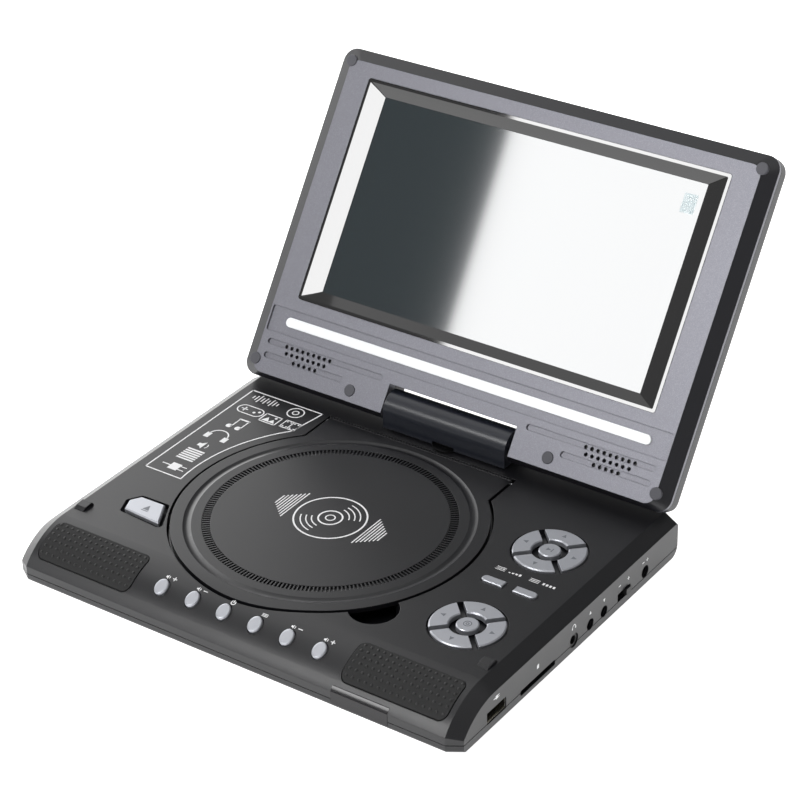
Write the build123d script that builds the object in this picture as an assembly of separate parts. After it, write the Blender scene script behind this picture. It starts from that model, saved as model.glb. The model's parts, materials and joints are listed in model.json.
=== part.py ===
"""Portable disc player: a base with a disc well, and a screen that tilts and swivels on a hinge block.

Millimetres. X points to the player's right, Y to its back, Z up. The origin is the centre of the base's
footprint, on the surface that its feet stand on.
"""
import os
from math import cos, hypot, radians, sin, sqrt

from build123d import *

os.makedirs("parts", exist_ok=True)

# ---- base casing ----
BASE_HALF_X = 104.0
FRONT_Y, REAR_Y = -76.4, 77.3
UNDERSIDE_Z, TOP_Z = 0.8, 19.0
WALL = 2.0
BEVEL_RUN, BEVEL_DROP = 5.7, 3.6      # the bevel round each end of the top and the front
ROLL_Y, ROLL_R = -53.0, 29.7          # where the top starts to roll down to the front, and its radius
TOE_R, HEEL_R, BACK_R = 1.5, 4.5, 1.5
PARTING_Z = 4.2                       # joint line between the two casing halves
PARTING_GAP = 0.15                    # each half stops this far from it
LIP_INSET, LIP_H, LIP_T, LIP_GAP = 1.1, 1.2, 0.8, 0.1

# ---- disc well and lid ----
DISC_X, DISC_Y = -8.4, 1.7            # spindle axis
LID_R, LID_TAB_HALF, LID_BACK_Y = 62.6, 44.7, 63.2
LID_GAP, LID_PROUD, LID_T = 1.2, 0.2, 2.0
LID_HINGE_Y, LID_HINGE_Z, LID_PIN_R = 61.9, 17.7, 0.8
REAR_GAP = 1.0
WELL_R, WELL_WALL, WELL_FLOOR_Z, WELL_FLOOR_T = 61.6, 1.6, 10.4, 1.4
RING_IN_R, RING_OUT_R, RING_DEPTH = 46.9, 50.3, 0.8
BEAD_W, BEAD_H, BEAD_INSET = 0.8, 0.3, 0.2   # the raised line along the lid's back
STEP_R, STEP_CUTTER_R, STEP_DEPTH = 56.0, 4.0, 0.35
NOTCH_X, NOTCH_Y, NOTCH_R = 41.3, -38.8, 9.5

# ---- disc drive ----
DECK_Z, DECK_T = 7.0, 1.0
SPINDLE_R, SEAT_R, SEAT_Z = 7.45, 13.5, 12.2
SLED_START, SLED_TRAVEL, SLED_HALF = 23.5, 33.0, 7.0
RAIL_Y, RAIL_Z, RAIL_R = 12.5, 5.6, 1.0
BRACKET_T, SLED_ROOM = 2.4, 0.3        # rail brackets, and the room left past the sled's last position
RAIL_START = 11.8
RAIL_END = SLED_START + SLED_TRAVEL + SLED_HALF + SLED_ROOM + BRACKET_T
SCREW_Y, SCREW_Z, SCREW_R = -18.0, 5.4, 1.2
RUNNING = 0.06                        # radial clearance of shafts that turn or slide

# ---- buttons ----
KEY_COUNT, KEY_PITCH, KEY_X0, KEY_Y = 6, 14.84, -37.1, -67.1
KEY_RX, KEY_RY, KEY_PROUD, KEY_TRAVEL, KEY_BOARD_W = 2.8, 3.5, 1.1, 0.8, -5.1
PAD_CENTRES = {"rear": (75.6, 28.7), "front": (76.2, -28.6)}
PAD_SIDES = {"right": 0, "back": 90, "left": 180, "front": 270}
PAD_IN_R, PAD_OUT_R, PAD_WELL_R, PAD_CENTRE_R, PAD_GAP = 7.05, 14.5, 15.3, 4.4, 2.6
PAD_FLOOR_Z, BUTTON_TOP_Z, BUTTON_TRAVEL = 16.6, 19.8, 0.8
PILLS = {"setup_button": (63.8, 73.5, -1), "menu_button": (78.3, 88.0, 1)}
PILL_HALF_W = 1.9
OPEN_OUTLINE = [(-80.1, -37.4), (-61.9, -38.6), (-68.1, -26.9), (-79.6, -27.2), (-82.4, -31.6)]
OPEN_POCKET, OPEN_BOSS, OPEN_STEM = 1.65, 2.6, (-72.0, -33.0)
LATCH_ANGLE = 207.97                  # the latch slides along this direction from the spindle axis

# ---- grip pads, window, bumpers, feet ----
GRIP_X0, GRIP_X1, GRIP_Y0, GRIP_Y1 = 49.8, 95.8, -73.0, -57.2
GRIP_DEPTH, GRIP_PROUD, GRIP_GAP = 1.0, 0.25, 0.3
WINDOW_X0, WINDOW_X1, WINDOW_Z0, WINDOW_Z1 = 48.3, 73.5, 2.2, 9.4
NUB_X, NUB_Y, NUB_H = 95.1, -44.4, 1.4
FEET = [(x, y) for x in (-84, 84) for y in (-58, 60)]
FOOT_R, FOOT_SINK = 5.0, 0.5
SCREW_POSTS = [(-60, -67), (60, -67), (-96, 67), (96, 67), (-50, 70), (50, 70)]
POST_R, SHANK_R, HEAD_R = 3.2, 1.25, 2.4

# ---- right side: (y, z) of each socket ----
USB = (-51.75, 6.35, 12.5, 5.1)       # centre y, z, width, height
CARD = (-24.3, 3.85, 23.4, 2.3)
HEADPHONE = (0.5, 5.7, 3.0)           # centre y, z, radius of the casing's hole
AV_OUT, AV_IN, DC_IN = (12.1, 6.0, 2.4), (22.0, 6.0, 2.4), (52.3, 6.8, 2.6)
POWER = (36.65, 6.0, 9.5, 3.6)
POWER_KNOB_W, POWER_TRAVEL = 3.6, 4.5
PLUG_R, PLUG_DEPTH = 1.8, 12.0
SOCKET_FACE_X = 101.9
BOARD_Z, BOARD_T = 10.0, 1.2

# ---- hinge block ----
TILT_Y, TILT_Z, OPEN_ANGLE = 74.6, 26.6, 125.0
SCREEN_LOW_Z, SOLE_T = 21.4, 1.5       # height of the leaned-back screen's level underside, and its wall
SWIVEL_Y, POST_TOP_Z, NECK_R, SWIVEL_R = 70.5, 19.9, 6.0, 3.4
BLOCK_HALF_X, BLOCK_R, BLOCK_WALL, CLIP_R = 29.7, 7.2, 1.6, 2.6
SHAFT_R, SHAFT_HALF, ARM_R = 2.5, 44.0, 3.5

# ---- screen, in its own plane: u up the panel from the tilt axis, w out of its face ----
FACE_W, PART_W, BACK_W = 5.6, 0.9, -7.2
SCREEN_HALF_X, SCREEN_U0, SCREEN_U1, SCREEN_CORNER = 103.5, -6.2, 138.3, 6.0
FACE_HALF_X, FACE_U0, FACE_U1, RIM_W = 97.7, -4.4, 133.2, 2.6
LCD_U, LCD_W = 35.6, 3.5              # lower edge of the picture and its depth
PICTURE_X, PICTURE_Y = 154.0, 85.6
FRAME_HALF_X, FRAME_U0, FRAME_U1 = 86.5, 29.8, 127.2
BAND_U0, BAND_U1, BAND_DEPTH = 13.6, 24.6, 0.8
STRIP_HALF_X, STRIP_U, STRIP_W = 88.5, 19.3, 4.1
STRIP_PROUD = 0.15
NOTCH_HALF_X, NOTCH_U = 31.0, 8.2
SLOT_W, SLOT_DEPTH = 2.4, 0.9
SLOTS = [(35.0, 94.2, 9.4), (53.0, 94.0, 3.4)]
SOUND_ROWS = [(9, 73.6, 9.1), (8, 73.6, 6.3), (5, 73.6, 3.3)]
SOUND_PITCH, SOUND_R = 2.8, 0.8
DOTS = [(x, u) for x in (-97.5, 97.5) for u in (132.3, 0.6)] + [(-48.3, 0.3), (48.3, 0.3)]
DOT_R, DOT_PROUD = 2.5, 0.4
SCREEN_POSTS = [(x, u) for x in (-92, 92) for u in (128, 24)]

written = []


def save(name, *shapes, place=Location()):
    """Write one node, moved to its place, as parts/name.step."""
    solids = [place * s for shape in shapes for s in shape.solids()]
    export_step(Compound(children=solids) if len(solids) > 1 else solids[0], f"parts/{name}.step")
    written.append(name)


def block(x0, x1, y0, y1, z0, z1):
    """A box between two corners."""
    return Pos((x0 + x1) / 2, (y0 + y1) / 2, (z0 + z1) / 2) * Box(x1 - x0, y1 - y0, z1 - z0)


def rod(x, y, z0, z1, r):
    """An upright cylinder."""
    return Pos(x, y, (z0 + z1) / 2) * Cylinder(r, z1 - z0)


def bar(x0, x1, y, z, r):
    """A cylinder along X."""
    return Pos((x0 + x1) / 2, y, z) * Rot(0, 90, 0) * Cylinder(r, x1 - x0)


def prism(sketch, z0, z1):
    """A flat outline carried from z0 up to z1."""
    return extrude(Pos(0, 0, z0) * sketch, amount=z1 - z0, dir=(0, 0, 1))


def rounded(x0, x1, y0, y1, r):
    """A rectangle with rounded corners."""
    return Pos((x0 + x1) / 2, (y0 + y1) / 2) * RectangleRounded(x1 - x0, y1 - y0, r)


# ---- base form ----
def base_profile(x, inset, drop):
    """The base's section at x, moved in by inset, and by drop more along the top and the front."""
    radius = ROLL_R - inset - drop
    front, rear = FRONT_Y + inset + drop, REAR_Y - inset
    top, low = TOP_Z - inset - drop, UNDERSIDE_Z + inset
    centre_z = TOP_Z - ROLL_R
    heel, back = max(HEEL_R - inset, 0.5), max(BACK_R - inset, 0.4)
    crease_z = centre_z + sqrt(radius**2 - (front - ROLL_Y) ** 2)
    middle_y, middle_z = (front + ROLL_Y) / 2 - ROLL_Y, (crease_z + top) / 2 - centre_z
    reach = radius / hypot(middle_y, middle_z)
    roll_middle = (ROLL_Y + middle_y * reach, centre_z + middle_z * reach)
    bend = 1 - cos(radians(45))
    edges = Line((front, low + TOE_R), (front, crease_z))
    edges += ThreePointArc((front, crease_z), roll_middle, (ROLL_Y, top))
    edges += Line((ROLL_Y, top), (rear - back, top))
    edges += ThreePointArc((rear - back, top), (rear - back * bend, top - back * bend), (rear, top - back))
    edges += Line((rear, top - back), (rear, low + heel))
    edges += ThreePointArc((rear, low + heel), (rear - heel * bend, low + heel * bend), (rear - heel, low))
    edges += Line((rear - heel, low), (front + TOE_R, low))
    edges += ThreePointArc(
        (front + TOE_R, low), (front + TOE_R * bend, low + TOE_R * bend), (front, low + TOE_R)
    )
    return Plane.YZ.offset(x) * make_face(edges)


def base_form(inset):
    """The base's closed outer form, every face moved in by inset (out where it is negative)."""
    length = hypot(BEVEL_RUN, BEVEL_DROP)
    nx, nz = BEVEL_DROP / length, BEVEL_RUN / length
    plane = nx * BASE_HALF_X + nz * (TOP_Z - BEVEL_DROP) - inset
    end = BASE_HALF_X - inset
    shoulder = (plane - nz * (TOP_Z - inset)) / nx
    drop = TOP_Z - inset - (plane - nx * end) / nz
    form = extrude(base_profile(-shoulder, inset, 0), amount=2 * shoulder, dir=(1, 0, 0))
    bevel = loft([base_profile(shoulder, inset, 0), base_profile(end, inset, drop)], ruled=True)
    return form + bevel + mirror(bevel, Plane.YZ)


FORM = base_form(0)
INNER = base_form(WALL)


def lid_outline(gap, rear_gap):
    """The lid as seen from above: a disc with a square tab, cut straight along its back."""
    back = LID_BACK_Y + rear_gap
    tab = Pos(DISC_X, DISC_Y) * Rectangle(
        2 * (LID_TAB_HALF + gap), back - DISC_Y, align=(Align.CENTER, Align.MIN)
    )
    ahead = Pos(DISC_X, back) * Rectangle(4 * LID_R, 4 * LID_R, align=(Align.CENTER, Align.MAX))
    return (Pos(DISC_X, DISC_Y) * Circle(LID_R + gap) + tab) & ahead


def key_place(i):
    """Where front key i stands: its own Z points out of the rolled front."""
    centre_z = TOP_Z - ROLL_R
    z = centre_z + sqrt(ROLL_R**2 - (KEY_Y - ROLL_Y) ** 2)
    out = (0, (KEY_Y - ROLL_Y) / ROLL_R, (z - centre_z) / ROLL_R)
    return Plane(origin=(KEY_X0 + KEY_PITCH * i, KEY_Y, z), x_dir=(1, 0, 0), z_dir=out).location


def pill_outline(x0, x1, round_side, grow):
    """A button outline with one round end, the left for -1 and the right for 1."""
    half = PILL_HALF_W + grow
    x0, x1 = x0 - grow, x1 + grow
    end = x0 + half if round_side < 0 else x1 - half
    flat = (end, x1) if round_side < 0 else (x0, end)
    body = Pos((flat[0] + flat[1]) / 2, 0) * Rectangle(flat[1] - flat[0], 2 * half)
    return body + Pos(end, 0) * Circle(half)


def open_outline(grow):
    """The lid release button's outline, grown outwards."""
    outline = make_face(Polyline(*OPEN_OUTLINE, close=True))
    return offset(outline, grow) if grow else outline


LATCH_PLACE = Location((DISC_X, DISC_Y, 0), (0, 0, LATCH_ANGLE))


def grip_layer(sign, grow, low, high):
    """The slab between two offsets of the base form, over one grip pad's outline."""
    x0, x1 = GRIP_X0 - grow, GRIP_X1 + grow
    outline = rounded(x0, x1, GRIP_Y0 - grow, GRIP_Y1 + grow, 3.0 + grow)
    slab = prism(outline, 2, 30) & (base_form(low) - base_form(high))
    return slab if sign > 0 else mirror(slab, Plane.YZ)


def side_slot(x0, x1, y, z, width, height, r):
    """A rounded slot through the right wall."""
    return extrude(Plane.YZ.offset(x0) * Pos(y, z) * RectangleRounded(width, height, r), amount=x1 - x0)


def side_openings():
    """Every opening in the right wall, for both casing halves."""
    x0, x1 = SOCKET_FACE_X - 1.0, BASE_HALF_X + 2
    cuts = side_slot(x0, x1, *USB, 0.4) + side_slot(x0, x1, *CARD, 0.5)
    cuts += side_slot(x0, x1, *POWER, 0.6)
    for y, z, r in (HEADPHONE, AV_OUT, AV_IN, DC_IN):
        cuts += bar(x0, x1, y, z, r)
    return cuts


SIDE_OPENINGS = side_openings()
WINDOW_BOX = block(WINDOW_X0, WINDOW_X1, -80, -68, WINDOW_Z0, WINDOW_Z1)


# ---- casing halves ----
def base_top_shell():
    """Top casing: skin, disc well, button wells, swivel boss and screw posts in one moulding."""
    lowest = PARTING_Z + PARTING_GAP
    shell = (FORM - INNER) & block(-120, 120, -90, 90, lowest, 30)
    lip_room = base_form(LIP_INSET - LIP_GAP) & block(-120, 120, -90, 90, 0, PARTING_Z + LIP_H + 0.2)
    shell -= lip_room
    floor_low = WELL_FLOOR_Z - WELL_FLOOR_T
    well_out = WELL_R + WELL_WALL
    grown = rod(DISC_X, DISC_Y, floor_low, 18, well_out)
    grown += rod(NOTCH_X, NOTCH_Y, floor_low, 18, NOTCH_R + 2.0)
    for x, y in PAD_CENTRES.values():
        grown += rod(x, y, PAD_FLOOR_Z - 1.4, 18, PAD_WELL_R + 1.6)
    grown += prism(open_outline(OPEN_BOSS), 14.8, 18)
    grown += rod(0, SWIVEL_Y, 7.0, 18, NECK_R + 0.6)
    for x in (DISC_X - LID_TAB_HALF - 3.4, DISC_X + LID_TAB_HALF + 3.4):
        grown += block(x - 2.7, x + 2.7, LID_HINGE_Y - 2.4, LID_HINGE_Y + 2.4, 14.6, 18)
    for x, y in SCREW_POSTS:
        grown += rod(x, y, PARTING_Z + 0.9, 18, POST_R)
    shell += grown & base_form(0.6)
    shell -= prism(lid_outline(LID_GAP, REAR_GAP), 10, 30) - base_form(LID_T + 0.4)
    shell -= rod(DISC_X, DISC_Y, WELL_FLOOR_Z, 30, WELL_R)
    shell -= rod(NOTCH_X, NOTCH_Y, WELL_FLOOR_Z, 30, NOTCH_R + 0.3)
    shell -= block(DISC_X - 40, DISC_X + 40, LID_HINGE_Y - 3, LID_BACK_Y + REAR_GAP, 15.4, 30)
    shell -= block(DISC_X - 26, DISC_X + 47, DISC_Y - 24, DISC_Y + 23, 8, 12)
    shell -= block(DISC_X + 47, DISC_X + WELL_R, DISC_Y - 9.6, DISC_Y + 9.6, 8, 12)
    for x, y in loader_corners():
        shell -= rod(x, y, 8, WELL_FLOOR_Z - 0.3, SHANK_R)
    for x, y in PAD_CENTRES.values():
        shell -= rod(x, y, PAD_FLOOR_Z, 30, PAD_WELL_R)
        for angle in PAD_SIDES.values():
            shell -= Pos(x, y) * Rot(0, 0, angle) * rod(10.8, 0, 10, 20, 1.9)
        shell -= rod(x, y, 10, 20, 1.9)
    for x0, x1, side in PILLS.values():
        shell -= prism(pill_outline(x0, x1, side, 0.3), 10, 30)
    shell -= prism(open_outline(OPEN_POCKET), PAD_FLOOR_Z, 30)
    shell -= rod(*OPEN_STEM, 10, 20, 2.4)
    shell -= LATCH_PLACE * block(59.5, 66, -2.6, 2.6, 12.6, 15.4)
    for i in range(KEY_COUNT):
        hole = extrude(Ellipse(KEY_RX + 0.3, KEY_RY + 0.3), amount=9, both=True)
        shell -= key_place(i) * hole
    for sign in (-1, 1):
        shell -= grip_layer(sign, GRIP_GAP, -3.0, GRIP_DEPTH)
        shell -= rod(sign * NUB_X, NUB_Y, TOP_Z - 0.9, 30, 1.3)
        x = DISC_X + sign * (LID_TAB_HALF + 2.3)
        shell -= bar(x - 2.3, x + 2.3, LID_HINGE_Y, LID_HINGE_Z, LID_PIN_R + RUNNING)
    shell -= WINDOW_BOX & base_form(-3) - base_form(1.2)
    shell -= SIDE_OPENINGS
    shell -= rod(0, SWIVEL_Y, 0, 30, SWIVEL_R + RUNNING)
    for x, y in SCREW_POSTS:
        shell -= rod(x, y, 0, 12.5, SHANK_R)
    return shell.solids().sort_by(SortBy.VOLUME)[-1]


def base_bottom_shell():
    """Bottom casing: a shallow tray with a lip inside the joint line, screw tubes and foot recesses."""
    highest = PARTING_Z - PARTING_GAP
    shell = (FORM - INNER) & block(-120, 120, -90, 90, 0, highest)
    lip = base_form(LIP_INSET) - base_form(LIP_INSET + LIP_T)
    lip &= block(-120, 120, -90, 90, highest - 1, PARTING_Z + LIP_H)
    lip -= SIDE_OPENINGS
    lip -= WINDOW_BOX
    shell += lip
    for x, y in SCREW_POSTS:
        tube = rod(x, y, UNDERSIDE_Z, PARTING_Z + 0.7, POST_R) & base_form(0.05)
        shell += tube
        shell -= rod(x, y, 0, 2.0, HEAD_R + 0.2)
        shell -= rod(x, y, 0, 10, SHANK_R + 0.15)
    for x, y in FEET:
        shell -= rod(x, y, 0, UNDERSIDE_Z + FOOT_SINK, FOOT_R)
    shell -= WINDOW_BOX & base_form(-3) - base_form(1.2)
    shell -= SIDE_OPENINGS
    return shell.solids().sort_by(SortBy.VOLUME)[-1]


def small_base_pieces():
    """Feet, casing screws, window, grip pads and the nubs that the closed screen meets."""
    feet = [rod(x, y, 0, UNDERSIDE_Z + FOOT_SINK, FOOT_R) for x, y in FEET]
    save("rubber_feet", *[chamfer(f.edges().sort_by(Axis.Z)[0], 0.4) for f in feet])
    screws = [rod(x, y, 1.0, 2.0, HEAD_R) + rod(x, y, 2.0, 11.5, SHANK_R) for x, y in SCREW_POSTS]
    save("base_screws", *[s - rod(*p, 1.0, 1.6, 0.9) for s, p in zip(screws, SCREW_POSTS)])
    save("ir_window", (WINDOW_BOX - block(-200, 200, -90, -60, 0, 2.3)) & base_form(-0.1) - base_form(1.2))
    save("grip_pads", *[grip_layer(sign, 0, -GRIP_PROUD, GRIP_DEPTH) for sign in (-1, 1)])
    nubs = []
    for sign in (-1, 1):
        wedge = make_face(Polyline((-3.3, 0), (3.4, 0), (2.2, NUB_H), (-1.6, NUB_H * 0.8), close=True))
        head = extrude(Plane.YZ.offset(-2.3) * wedge, amount=4.6)
        peg = rod(sign * NUB_X, NUB_Y, TOP_Z - 0.9, TOP_Z, 1.3)
        nubs.append(Pos(sign * NUB_X, NUB_Y, TOP_Z) * head + peg)
    save("closing_bumpers", *nubs)


# ---- lid ----
def disc_lid():
    """The lid: the casing's skin, a little proud, with two ring grooves, a back bead and a latch tongue."""
    layer = base_form(-LID_PROUD) - base_form(LID_T - LID_PROUD)
    outline = lid_outline(0, 0)
    lid = prism(outline, 10, 30) & layer
    top = TOP_Z + LID_PROUD
    floor = top - RING_DEPTH
    lid -= rod(DISC_X, DISC_Y, floor, 30, RING_OUT_R) - rod(DISC_X, DISC_Y, 0, 30, RING_IN_R)
    lid -= Pos(DISC_X, DISC_Y, top + STEP_CUTTER_R - STEP_DEPTH) * Torus(STEP_R, STEP_CUTTER_R)
    bead_y = LID_BACK_Y - BEAD_INSET
    left, right = DISC_X - LID_TAB_HALF, DISC_X + LID_TAB_HALF
    lid += block(left, right, bead_y - BEAD_W, bead_y, TOP_Z, top + BEAD_H)
    for sign in (-1, 1):
        x = DISC_X + sign * (LID_TAB_HALF - 3)
        barrel = bar(x - 3, x + 3, LID_HINGE_Y, LID_HINGE_Z, 1.4)
        lid += barrel & block(-100, 100, 55, LID_BACK_Y, 10, top)
        lid -= bar(x - 3.01, x + 3.01, LID_HINGE_Y, LID_HINGE_Z, LID_PIN_R)
    tongue = block(58.6, 60.4, -4, 4, 11.6, top - 1) - block(58, 61, -2.4, 2.4, 12.6, 15.2)
    lid += LATCH_PLACE * tongue & base_form(1.0)
    return lid


def lid_pins():
    """The two steel pins that the lid turns on."""
    centres = [DISC_X + sign * (LID_TAB_HALF - 0.9) for sign in (-1, 1)]
    return [bar(x - 5.1, x + 5.1, LID_HINGE_Y, LID_HINGE_Z, LID_PIN_R) for x in centres]


def lid_latch():
    """The sliding hook that the release button draws back."""
    hook = block(60.9, 66.0, -2.0, 2.0, 13.0, 14.2)
    return LATCH_PLACE * (hook + block(66.0, 78.0, -3.0, 3.0, 11.9, 13.6))


# ---- disc drive ----
def loader_corners():
    """The four screw places of the drive deck."""
    return [(DISC_X + x, DISC_Y + y) for x in (-29.5, 50.5) for y in (-23.2, 21.5)]


def disc_drive():
    """Deck, motors, rails and the parts that move on them, around the spindle axis."""
    at = Pos(DISC_X, DISC_Y)
    deck = at * prism(rounded(-33.5, 54.5, -26, 24.5, 3), DECK_Z, DECK_Z + DECK_T)
    deck += at * block(54, 62, -10.5, 10.5, DECK_Z, DECK_Z + DECK_T)
    deck -= at * block(16, 61.5, -9.6, 9.6, 0, 20)
    deck -= at * rod(0, 0, 0, 20, 4.2)
    deck -= at * block(-0.5, 14.0, SCREW_Y - 3.2, SCREW_Y + 3.2, 0, 20)
    far = RAIL_END - BRACKET_T
    for y in (-RAIL_Y, RAIL_Y):
        deck += at * block(RAIL_START, RAIL_START + BRACKET_T, y - 2.5, y + 2.5, 4.0, DECK_Z + 0.5)
        deck += at * block(far, RAIL_END, y - 2.5, y + 2.5, 4.0, DECK_Z + 0.5)
        deck += at * block(54, RAIL_END, y - 2.5, y + 2.5, DECK_Z, DECK_Z + DECK_T)
    deck += at * block(far, RAIL_END, SCREW_Y - 2, SCREW_Y + 4, 4.0, DECK_Z + DECK_T)
    deck += at * block(54, RAIL_END, SCREW_Y - 2, SCREW_Y + 4, DECK_Z, DECK_Z + DECK_T)
    for y in (-RAIL_Y, RAIL_Y):
        deck -= at * bar(10, 70, y, RAIL_Z, RAIL_R)
    deck -= at * bar(60, 70, SCREW_Y, SCREW_Z, SCREW_R + RUNNING)
    for x, y in loader_corners():
        deck -= rod(x, y, 0, 20, 1.5)
    save("loader_deck", deck)
    rails = [at * bar(RAIL_START, RAIL_END, y, RAIL_Z, RAIL_R) for y in (-RAIL_Y, RAIL_Y)]
    save("guide_rails", *rails)
    screws = [rod(x, y, 6.0, DECK_Z, 2.4) + rod(x, y, DECK_Z, 10.0, 1.2) for x, y in loader_corners()]
    save("loader_screws", *screws)
    can = rod(0, 0, 3.2, DECK_Z - 0.05, 10.5) + rod(0, 0, DECK_Z - 0.05, 8.8, 4.0)
    save("spindle_motor", at * (can - rod(0, 0, 4.2, 20, 1.0 + RUNNING)))
    table = rod(0, 0, 9.4, SEAT_Z - 0.8, 5.5) + rod(0, 0, SEAT_Z - 0.8, SEAT_Z, SEAT_R)
    boss = chamfer(rod(0, 0, SEAT_Z, SEAT_Z + 2.6, SPINDLE_R).edges().sort_by(Axis.Z)[-1], 0.7)
    save("turntable", at * (table + boss + rod(0, 0, 4.6, 9.4, 1.0)))
    motor = bar(0, 13.4, SCREW_Y, SCREW_Z, 2.5) - bar(5, 20, SCREW_Y, SCREW_Z, SCREW_R + RUNNING)
    save("feed_motor", at * motor)
    save("feed_screw", at * bar(6.0, RAIL_END - 0.2, SCREW_Y, SCREW_Z, SCREW_R))
    sled = block(-SLED_HALF, SLED_HALF, -15, 15, 3.9, 6.8)
    sled += block(-3.0, 3.0, -20.3, -14.5, 3.7, 6.8)
    sled += block(-4.2, 4.2, -8.6, 8.6, 6.8, 10.2) + rod(0, 0, 10.2, 10.8, 3.6)
    for y in (-RAIL_Y, RAIL_Y):
        sled -= bar(-20, 20, y, RAIL_Z, RAIL_R + RUNNING)
    sled -= bar(-20, 20, SCREW_Y, SCREW_Z, SCREW_R + RUNNING)
    lens = rod(0, 0, 10.8, 11.2, 2.2)
    sled += fillet(lens.edges().sort_by(Axis.Z)[-1], 0.35)
    save("pickup_sled", at * Pos(SLED_START, 0) * sled)


# ---- buttons ----
def front_key():
    """One oval key with a domed top, two ears under the skin and a stem, its own Z out of the casing."""
    cap = extrude(Pos(0, 0, -2.9) * Ellipse(KEY_RX, KEY_RY), amount=2.9 + KEY_PROUD)
    cap = fillet(cap.edges().sort_by(Axis.Z)[-1], 0.75)
    ears = block(-KEY_RX - 0.9, KEY_RX + 0.9, -1.4, 1.4, -3.2, -2.15)
    return cap + ears + rod(0, 0, KEY_BOARD_W + KEY_TRAVEL + 0.3, -2.8, 1.2)


def pad_segment(x, y, angle):
    """One quarter of a round control, cut along the diagonals and bevelled."""
    bottom = PAD_FLOOR_Z + BUTTON_TRAVEL + 0.1
    ring = rod(0, 0, bottom, BUTTON_TOP_Z, PAD_OUT_R) - rod(0, 0, 0, 30, PAD_IN_R)
    ring = chamfer(ring.edges().group_by(Axis.Z)[-1], 0.45)
    reach, half = 40, PAD_GAP / sqrt(2)
    wedge = make_face(Polyline((half, 0), (half + reach, reach), (half + reach, -reach), close=True))
    stem = rod(10.8, 0, 14.6, bottom + 0.5, 1.5)
    return Pos(x, y) * Rot(0, 0, angle) * ((ring & prism(wedge, 0, 30)) + stem)


def buttons():
    """Every press button, each in its own node."""
    for i in range(KEY_COUNT):
        save(f"front_key_{i + 1}", key_place(i) * front_key())
    for pad, (x, y) in PAD_CENTRES.items():
        for side, angle in PAD_SIDES.items():
            save(f"{pad}_pad_{side}", pad_segment(x, y, angle))
        cap = rod(0, 0, PAD_FLOOR_Z + BUTTON_TRAVEL + 0.1, BUTTON_TOP_Z, PAD_CENTRE_R)
        cap = chamfer(cap.edges().sort_by(Axis.Z)[-1], 0.4)
        save(f"{pad}_pad_centre", Pos(x, y) * (cap + rod(0, 0, 14.6, 18.0, 1.5)))
    for name, (x0, x1, side) in PILLS.items():
        cap = prism(pill_outline(x0, x1, side, 0), 16.2, BUTTON_TOP_Z)
        cap = chamfer(cap.faces().sort_by(Axis.Z)[-1].edges(), 0.3)
        middle, reach = (x0 + x1) / 2, PILL_HALF_W + 0.9
        ears = block(middle - 2, middle + 2, -reach, reach, 15.2, 16.7)
        save(name, cap + ears + rod(middle, 0, 14.6, 15.2, 1.5))
    cap = chamfer(prism(open_outline(0), 17.9, BUTTON_TOP_Z).faces().sort_by(Axis.Z)[-1].edges(), 0.5)
    save("open_button", cap + rod(*OPEN_STEM, 15.3, 17.9, 2.0))


# ---- boards, battery, sockets ----
def electronics():
    """Circuit boards and the battery pack inside the base."""
    board = prism(rounded(58, 100.5, -60, 60, 1.5), BOARD_Z, BOARD_Z + BOARD_T)
    board += block(64, 76, 30, 42, BOARD_Z + BOARD_T, BOARD_Z + BOARD_T + 1.0)
    save("main_board", board)
    pad_board = prism(rounded(59, 94, -46, 46, 1.5), 12.5, 13.7)
    key_board = block(-42, 42, -4.6, 1.4, KEY_BOARD_W - 1.0, KEY_BOARD_W)
    save("button_boards", pad_board, key_place(0) * Pos(-KEY_X0, 0, 0) * key_board)
    pack = prism(rounded(-99, -73.6, -26, 60, 2), 3.1, 12.9)
    save("battery_pack", fillet(pack.edges().group_by(Axis.Z)[-1], 1.0))


def sockets():
    """The sockets along the right wall, each a body behind the wall with its own mouth."""
    face, back = SOCKET_FACE_X, SOCKET_FACE_X - 14.0
    y, z, width, height = USB
    can = side_slot(back, BASE_HALF_X - 0.4, y, z, width - 0.4, height - 0.4, 0.3)
    can -= side_slot(back + 1, 110, y, z, width - 1.0, height - 1.0, 0.2)
    tongue = block(back + 0.5, BASE_HALF_X - 2.2, y - 5.0, y + 5.0, z + 0.2, z + 1.7)
    save("usb_socket", can + tongue)
    y, z, width, height = CARD
    body = block(74, face, y - 13.6, y + 13.6, 2.85, 5.9)
    body -= side_slot(78, 110, y, z, width - 0.2, height - 0.2, 0.3)
    save("card_socket", body)
    y, z, r = HEADPHONE
    jack = block(face - 14, face, y - 5, y + 5, 2.9, 9.0) + bar(face, BASE_HALF_X - 0.5, y, z, r - 0.1)
    jacks = [jack - bar(BASE_HALF_X - 0.5 - PLUG_DEPTH, 110, y, z, PLUG_R)]
    for y, z, r in (AV_OUT, AV_IN):
        jack = block(face - 13.5, face, y - 4.2, y + 4.2, 2.9, 9.2)
        jacks.append(jack - bar(face - PLUG_DEPTH, 110, y, z, PLUG_R))
    save("audio_video_jacks", *jacks)
    y, z, r = DC_IN
    inlet = block(face - 12, face, y - 4.6, y + 4.6, 2.9, 9.8) - bar(face - 9.5, 110, y, z, 2.1)
    save("dc_jack", inlet + bar(face - 10, face - 1.0, y, z, 0.65))
    y, z, width, height = POWER
    body = block(face - 7, face - 0.3, y - 7, y + 7, 3.0, 9.2)
    body -= side_slot(face - 4.0, 110, y, z, width - 0.4, height - 0.4, 0.3)
    save("power_switch", body)
    knob_y = y + POWER_TRAVEL / 2
    knob = side_slot(face - 3.6, BASE_HALF_X + 0.9, knob_y, z, POWER_KNOB_W, height - 0.8, 0.4)
    save("power_slider", knob)


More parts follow.
